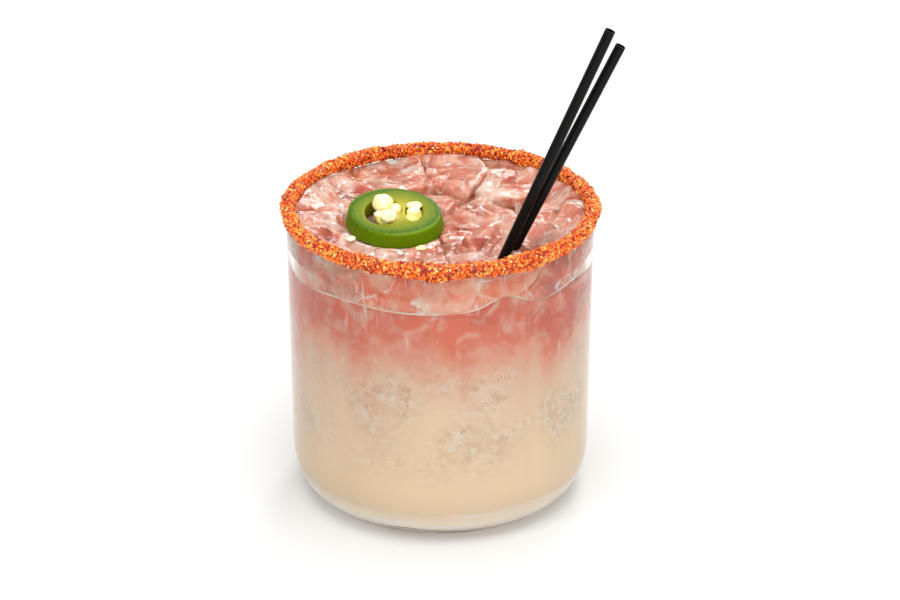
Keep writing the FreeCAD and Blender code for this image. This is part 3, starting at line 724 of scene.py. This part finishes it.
def scatter(ground_mesh, shapes, per_square_mm, smallest, largest, seed, tip=math.tau):
    """Strews grains over a mesh, tipped by up to an angle, as one mesh with a tone for each grain."""
    tree = bpy.data.node_groups.new("scatter", "GeometryNodeTree")
    tree.interface.new_socket("Geometry", in_out="INPUT", socket_type="NodeSocketGeometry")
    tree.interface.new_socket("Geometry", in_out="OUTPUT", socket_type="NodeSocketGeometry")
    box = bpy.data.collections.new("grain_shapes")
    bpy.context.scene.collection.children.link(box)
    for shape in shapes:
        box.objects.link(shape)
    incoming = tree.nodes.new("NodeGroupInput")
    outgoing = tree.nodes.new("NodeGroupOutput")
    points = tree.nodes.new("GeometryNodeDistributePointsOnFaces")
    points.inputs["Density"].default_value = per_square_mm / MM ** 2
    points.inputs["Seed"].default_value = seed
    kinds = tree.nodes.new("GeometryNodeCollectionInfo")
    kinds.inputs["Collection"].default_value = box
    kinds.inputs["Separate Children"].default_value = True
    kinds.inputs["Reset Children"].default_value = True
    turn = tree.nodes.new("FunctionNodeRandomValue")
    turn.data_type = "FLOAT_VECTOR"
    turn.inputs["Max"].default_value = (tip, tip, math.tau)
    turn.inputs["Seed"].default_value = seed + 1
    size = tree.nodes.new("FunctionNodeRandomValue")
    size.data_type = "FLOAT_VECTOR"
    size.inputs["Min"].default_value = (smallest,) * 3
    size.inputs["Max"].default_value = (largest,) * 3
    size.inputs["Seed"].default_value = seed + 2
    placed = tree.nodes.new("GeometryNodeInstanceOnPoints")
    placed.inputs["Pick Instance"].default_value = True
    tone = tree.nodes.new("FunctionNodeRandomValue")
    tone.data_type = "FLOAT"
    tone.inputs["Seed"].default_value = seed + 3
    store = tree.nodes.new("GeometryNodeStoreNamedAttribute")
    store.data_type = "FLOAT"
    store.domain = "INSTANCE"
    store.inputs["Name"].default_value = "tone"
    real = tree.nodes.new("GeometryNodeRealizeInstances")
    link = tree.links.new
    link(incoming.outputs[0], points.inputs["Mesh"])
    link(points.outputs["Points"], placed.inputs["Points"])
    link(kinds.outputs[0], placed.inputs["Instance"])
    link(turn.outputs[0], placed.inputs["Rotation"])
    link(size.outputs[0], placed.inputs["Scale"])
    link(placed.outputs[0], store.inputs["Geometry"])
    link([s for s in tone.outputs if s.enabled][0], store.inputs["Value"])
    link(store.outputs[0], real.inputs["Geometry"])
    link(real.outputs[0], outgoing.inputs[0])
    holder = bpy.data.objects.new("ground", ground_mesh)
    bpy.context.scene.collection.objects.link(holder)
    holder.modifiers.new("scatter", "NODES").node_group = tree
    seen = holder.evaluated_get(bpy.context.evaluated_depsgraph_get())
    result = bpy.data.meshes.new_from_object(seen)
    bpy.data.objects.remove(holder)
    for shape in shapes:
        bpy.data.objects.remove(shape)
    bpy.data.collections.remove(box)
    return result


# %% [markdown]
# Broken ice also leaves chips. They lie on the bed at all angles and give the small sharp glints
# that large melted chunks can't.

# %% Ice chips
chip_shapes = [grain_shape("chip_a", 0.3, 0.35, 5), grain_shape("chip_b", 0.22, 0.4, 6)]
def clear_chip_ice():
    """Small clear chips: nearly colourless, sharp glints."""
    material, tree, shader, place = start_material("clear_chip_ice")
    frost = add(tree, "TexNoise", {"Vector": place, "Scale": cells_per(1.5), "Detail": 3.0}).outputs["Fac"]
    colour = ramp(tree, frost, [(0.35, "#fbd9c8"), (0.65, "#ffffff")])
    feed(tree, shader, Base_Color=colour, Transmission_Weight=0.5, IOR=1.31, Roughness=0.08,
         Coat_Weight=0.4, Coat_Roughness=0.02)
    return material


chips_mesh = scatter(bed_top(bed.data), chip_shapes, 0.006, 2.2, 4.2, 31, tip=0.5)
make_piece("ice_chips", chips_mesh, clear_chip_ice())
print("ice chips:", len(chips_mesh.polygons), "faces")

# %% Crust shape
def merged_copy(node_name, name):
    """A merged copy of a CAD node's mesh."""
    bm = bmesh.new()
    bm.from_mesh(NODES[node_name].data)
    bmesh.ops.remove_doubles(bm, verts=bm.verts, dist=0.01 * MM)
    mesh = bpy.data.meshes.new(name)
    bm.to_mesh(mesh)
    bm.free()
    return mesh


def dented(bm, size_mm, depth_mm, shift):
    """Moves each point along its normal by a soft noise."""
    bm.normal_update()
    for vertex in bm.verts:
        place = (vertex.co + shift) / (size_mm * MM)
        vertex.co += vertex.normal * noise.noise(place) * depth_mm * MM


def drawn_in(mesh, depth):
    """The mesh with its skin drawn in by a depth in mm, to leave room for grains."""
    bm = bmesh.new()
    bm.from_mesh(mesh)
    bm.normal_update()
    shifts = [vertex.normal * -depth * MM for vertex in bm.verts]
    for vertex, shift in zip(bm.verts, shifts):
        vertex.co += shift
    bm.to_mesh(mesh)
    bm.free()
    return mesh


crust_mesh = drawn_in(merged_copy("salt_rim", "crust"), 0.5)
bm = bmesh.new()
bm.from_mesh(crust_mesh)
dented(bm, 3.4, 0.6, Vector((0.0, 0.0, 0.0)))
bm.to_mesh(crust_mesh)
bm.free()
chilli_shapes = [grain_shape("grain_a", 0.8, 0.25, 1), grain_shape("grain_b", 0.6, 0.3, 2)]
chilli_mesh = scatter(crust_mesh, chilli_shapes, 1.7, 0.5, 1.4, 11)
salt_shapes = [grain_shape("grain_c", 1.0, 0.15, 3), grain_shape("grain_d", 0.8, 0.2, 4)]
salt_mesh = scatter(crust_mesh, salt_shapes, 0.7, 0.4, 0.95, 21)
print("crust grains:", len(chilli_mesh.polygons), "and", len(salt_mesh.polygons), "faces")

# %% [markdown]
# Chilli powder and salt soaked in lime: deep red flakes, orange dust, and salt crystals that have
# taken the orange colour and let some light through. The tone stored with each grain picks its
# colour from a ramp, so neighbours differ as they do in a real crust.

# %% Crust finish
def chilli_crust(name, stops, wetness, through):
    """Wet chilli and salt: grains of many reds and oranges with small wet glints."""
    material, tree, shader, place = start_material(name)
    tone = add(tree, "Attribute", attribute_name="tone").outputs["Fac"]
    patch = add(tree, "TexNoise", {"Vector": place, "Scale": cells_per(1.6), "Detail": 2.0}).outputs["Fac"]
    mixed = add(tree, "Math", {0: patch, 1: 0.5, 2: -0.25}, operation="MULTIPLY_ADD").outputs[0]
    pick = add(tree, "Math", {0: tone, 1: mixed}, operation="ADD").outputs[0]
    colour = ramp(tree, pick, stops)
    feed(tree, shader, Base_Color=colour, Roughness=0.38, IOR=1.5, Specular_IOR_Level=0.3, Coat_Weight=wetness,
         Coat_Roughness=0.12, Subsurface_Weight=through, Subsurface_Radius=(1.0, 0.35, 0.12),
         Subsurface_Scale=0.8 * MM)
    return material


BODY_STOPS = [(0.0, "#8c2003"), (0.5, "#c84408"), (1.0, "#e06a14")]
CHILLI_STOPS = [(0.0, "#6c0c01"), (0.20, "#ac2803"), (0.45, "#e45507"), (0.8, "#f8801a"), (1.0, "#ffb458")]
SALT_STOPS = [(0.0, "#ee7016"), (0.45, "#f88e2c"), (0.8, "#fdb458"), (1.0, "#ffe09c")]
crust = make_piece("crust_body", crust_mesh, chilli_crust("damp_chilli_paste", BODY_STOPS, 0.1, 0.0),
                   ["salt_rim"])
make_piece("chilli_grains", chilli_mesh, chilli_crust("chilli_flakes", CHILLI_STOPS, 0.15, 0.12),
           smooth=False)
make_piece("salt_grains", salt_mesh, chilli_crust("stained_salt", SALT_STOPS, 0.4, 0.3),
           smooth=False)

# %% [markdown]
# The slice of jalapeno keeps its CAD shape. Its colours are placed by how far a point is from the
# middle of the oval: near black-green skin, a bright green line under it, and flesh that pales
# towards the seeds with the fine speckle of cut cells.

# %% Jalapeno finish
def pepper_flesh():
    """Fresh jalapeno: waxy dark skin, wet green flesh with pale speckle."""
    material, tree, shader, place = start_material("fresh_jalapeno")
    moved = add(tree, "Mapping", {"Vector": place, "Location": tuple(-SLICE_MIDDLE)}).outputs["Vector"]
    flat = add(tree, "Mapping", {"Vector": moved, "Rotation": (-math.radians(SLICE_TILT), 0.0, 0.0)}
               ).outputs["Vector"]
    oval = add(tree, "Mapping", {"Vector": flat, "Rotation": (0.0, 0.0, -math.radians(SLICE_TURN)),
                                 "Scale": (1.0 / 13.9 / MM, 1.0 / 12.5 / MM, 0.0)}).outputs["Vector"]
    away = add(tree, "VectorMath", {0: oval}, operation="LENGTH").outputs["Value"]
    speckle = add(tree, "TexNoise", {"Vector": place, "Scale": cells_per(0.7), "Detail": 3.0,
                                     "Roughness": 0.7}).outputs["Fac"]
    jitter = add(tree, "Math", {0: speckle, 1: 0.36, 2: -0.18}, operation="MULTIPLY_ADD").outputs[0]
    blurred = add(tree, "Math", {0: away, 1: jitter}, operation="ADD").outputs[0]
    colour = ramp(tree, blurred, [(0.30, "#a39c2e"), (0.50, "#86841a"), (0.72, "#6a760c"), (0.86, "#526c06"),
                                  (0.94, "#2f5002"), (0.98, "#5c7a02")], "LINEAR")
    bump = add(tree, "Bump", {"Height": speckle, "Strength": 0.5, "Distance": 0.2 * MM}).outputs["Normal"]
    feed(tree, shader, Base_Color=colour, Roughness=0.38, IOR=1.4, Specular_IOR_Level=0.12,
         Subsurface_Weight=0.06, Subsurface_Radius=(0.5, 1.0, 0.2), Subsurface_Scale=1.0 * MM, Normal=bump)
    return material


def pale_tissue(name, low, high, size_mm):
    """Pith and seeds: soft cream tissue, a little glassy when wet."""
    material, tree, shader, place = start_material(name)
    blotch = add(tree, "TexNoise", {"Vector": place, "Scale": cells_per(size_mm), "Detail": 3.0}).outputs["Fac"]
    colour = ramp(tree, blotch, [(0.35, low), (0.65, high)])
    bump = add(tree, "Bump", {"Height": blotch, "Strength": 0.2, "Distance": 0.3 * MM}).outputs["Normal"]
    feed(tree, shader, Base_Color=colour, Roughness=0.3, IOR=1.45, Coat_Weight=0.3, Coat_Roughness=0.1,
         Subsurface_Weight=0.4, Subsurface_Radius=(1.0, 0.8, 0.4), Subsurface_Scale=1.2 * MM, Normal=bump)
    return material


PEPPER = pepper_flesh()
ring_mesh = even_copy("jalapeno_ring", 0.30)
bm = bmesh.new()
bm.from_mesh(ring_mesh)
for _ in range(4):
    bmesh.ops.smooth_vert(bm, verts=bm.verts, factor=0.5, use_axis_x=True, use_axis_y=True, use_axis_z=True)
make_piece("jalapeno_slice", close_mesh(bm, "slice"), PEPPER, ["jalapeno_ring"])
print("pepper middle at", tuple(round(c / MM, 1) for c in SLICE_MIDDLE))

# %% [markdown]
# The seeds sit in pale pith, which fills most of both hollows. A seed's CAD solid is a plain egg,
# so a copy is made plumper, raised a little and dented a little.
# The pith is a lumpy cushion in each hollow, shaped from a sphere.

# %% Seeds and pith
SEED_NAMES = sorted(name for name in NODES if name.startswith("seed_"))
SLICE_FRAME = (Matrix.Translation(Vector((-13.3, -0.29, 87.55)) * MM)
               @ Matrix.Rotation(math.radians(SLICE_TILT), 4, "X")
               @ Matrix.Rotation(math.radians(SLICE_TURN), 4, "Z"))


def plump_seed(node_name, shift):
    """A seed from its CAD egg: fuller, raised a little and dented."""
    bm = bmesh.new()
    bm.from_mesh(merged_copy(node_name, node_name))
    low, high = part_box(node_name)
    middle = (low + high) / 2
    bmesh.ops.scale(bm, vec=(1.2, 1.2, 1.12), verts=bm.verts, space=Matrix.Translation(-middle))
    bmesh.ops.translate(bm, vec=(0.0, 0.0, 0.25 * MM), verts=bm.verts)
    dented(bm, 1.8, 0.35, shift)
    return close_mesh(bm, node_name)


def pith_cushion(middle, half, shift):
    """A lumpy cushion of pith in the slice's own frame, sizes in mm."""
    bm = bmesh.new()
    bmesh.ops.create_icosphere(bm, subdivisions=4, radius=1.0)
    bmesh.ops.transform(bm, verts=bm.verts, matrix=SLICE_FRAME @ Matrix.Translation(Vector(middle) * MM)
                        @ Matrix.Diagonal(Vector(half) * MM).to_4x4())
    dented(bm, 2.2, 0.7, shift)
    return close_mesh(bm, "pith")


def pale_tissue(name, low, high, size_mm):
    """Pith and seeds: soft cream tissue, a little glassy when wet."""
    material, tree, shader, place = start_material(name)
    blotch = add(tree, "TexNoise", {"Vector": place, "Scale": cells_per(size_mm), "Detail": 3.0}).outputs["Fac"]
    colour = ramp(tree, blotch, [(0.35, low), (0.65, high)])
    bump = add(tree, "Bump", {"Height": blotch, "Strength": 0.2, "Distance": 0.3 * MM}).outputs["Normal"]
    feed(tree, shader, Base_Color=colour, Roughness=0.3, IOR=1.45, Coat_Weight=0.3, Coat_Roughness=0.1,
         Subsurface_Weight=0.4, Subsurface_Radius=(1.0, 0.8, 0.4), Subsurface_Scale=1.2 * MM, Normal=bump)
    return material


PITH = pale_tissue("pepper_pith", "#bfb040", "#e6dc84", 1.6)
SEED = pale_tissue("pepper_seed", "#ecd898", "#f8eec2", 1.4)
for index, name in enumerate(SEED_NAMES):
    make_piece("cream_" + name, plump_seed(name, Vector((index, 0.0, 0.0))), SEED, [name])
make_piece("pith_wide", pith_cushion((-0.9, -1.0, -1.5), (4.5, 4.7, 2.0), Vector((7.0, 0, 0))), PITH,
           ["pith"])
make_piece("pith_slim", pith_cushion((5.7, 0.8, -1.3), (2.3, 4.6, 1.5), Vector((8.0, 0, 0))), PITH)
print(len(SEED_NAMES), "seeds in two cushions of pith")


# %% Loose seeds
def ice_top_at(x, y):
    """The height in mm of the highest ice within 1.2 mm of a place."""
    pieces = [bed] + [bpy.data.objects["wet_" + name] for name in ICE_NAMES]
    heights = [vertex.co.z / MM for piece in pieces for vertex in piece.data.vertices
               if math.hypot(vertex.co.x / MM - x, vertex.co.y / MM - y) < 1.2]
    return max(heights)


for index, (x, y, turn) in enumerate(((-5.5, -17.0, 20.0), (-25.5, -15.0, 70.0))):
    bm = bmesh.new()
    bmesh.ops.create_icosphere(bm, subdivisions=3, radius=1.0)
    lying = Matrix.Translation(Vector((x, y, ice_top_at(x, y) + 0.25)) * MM)
    bmesh.ops.transform(bm, verts=bm.verts, matrix=lying @ Matrix.Rotation(math.radians(turn), 4, "Z")
                        @ Matrix.Diagonal(Vector((1.8, 1.3, 0.6)) * MM).to_4x4())
    dented(bm, 1.8, 0.3, Vector((0.0, index, 0.0)))
    make_piece(f"loose_seed_{index + 1}", close_mesh(bm, "loose_seed"), SEED)
print("2 loose seeds on the ice")

# %% [markdown]
# The straws are black polypropylene tubes, extruded, with a satin skin. Black plastic shows only
# its sheen, so the finish is a dark grey with a broad soft highlight and faint extrusion lines.

# %% Straw finish
def black_plastic():
    """Extruded black polypropylene: satin, almost no colour, one long soft highlight."""
    material, tree, shader, place = start_material("black_polypropylene")
    grain = add(tree, "TexNoise", {"Vector": place, "Scale": cells_per(0.8), "Detail": 3.0}).outputs["Fac"]
    colour = ramp(tree, grain, [(0.3, "#060505"), (0.7, "#0c0b0a")])
    gloss = add(tree, "MapRange", {"Value": grain, "To Min": 0.24, "To Max": 0.34}).outputs[0]
    feed(tree, shader, Base_Color=colour, Roughness=gloss, IOR=1.49, Specular_IOR_Level=0.12)
    return material


STRAW = black_plastic()
for name in ("straw_front", "straw_rear"):
    NODES[name].material_slots[0].material = STRAW
print("straws finished")

# %% [markdown]
# The stage is a white table in a white room. The world gives the even light that glass needs, a
# large lamp above gives the soft modelling, lamps behind and at the right draw the edges of the
# glass, a low lamp in front lights the near side, and a small lamp at the left adds glints.

# %% Stage and light
bm = bmesh.new()
bmesh.ops.create_grid(bm, x_segments=1, y_segments=1, size=3.0)
floor_mesh = bpy.data.meshes.new("floor")
bm.to_mesh(floor_mesh)
bm.free()
floor = bpy.data.objects.new("floor", floor_mesh)
bpy.context.scene.collection.objects.link(floor)
floor_finish, floor_tree, floor_shader, floor_place = start_material("white_table")
mottle = add(floor_tree, "TexNoise", {"Vector": floor_place, "Scale": 3.0}).outputs["Fac"]
feed(floor_tree, floor_shader, Roughness=0.9,
     Base_Color=ramp(floor_tree, mottle, [(0.0, "#d2d2d1"), (1.0, "#d6d6d5")]))
floor_mesh.materials.append(floor_finish)

world = bpy.data.worlds.new("studio")
bpy.context.scene.world = world
world.use_nodes = True
sky = world.node_tree
direction = add(sky, "TexCoord").outputs["Generated"]
rise = add(sky, "SeparateXYZ", {"Vector": direction}).outputs["Z"]
shade = ramp(sky, rise, [(0.0, "#dcdbda"), (0.30, "#e4e4e3"), (0.70, "#ffffff")], "LINEAR")
sky.links.new(shade, sky.nodes["Background"].inputs["Color"])
sky.nodes["Background"].inputs["Strength"].default_value = 0.88


def softbox(name, place, size, power, colour="#ffffff"):
    """A square lamp that points at the drink."""
    data = bpy.data.lights.new(name, "AREA")
    data.size = size
    data.energy = power
    data.color = linear(colour)[:3]
    lamp = bpy.data.objects.new(name, data)
    lamp.location = place
    lamp.rotation_euler = (Vector((0.0, 0.0, 0.06)) - Vector(place)).to_track_quat("-Z", "Y").to_euler()
    bpy.context.scene.collection.objects.link(lamp)
    return lamp


softbox("overhead", (0.05, -0.15, 1.1), 0.9, 9.0)
softbox("back", (0.25, 0.95, 0.75), 0.35, 4.5)
softbox("right", (0.8, -0.55, 0.45), 0.5, 1.0)
softbox("front", (0.2, -1.1, 0.22), 0.6, 8.2)
softbox("glint", (-0.55, -0.45, 0.7), 0.12, 1.2)
print("stage ready")
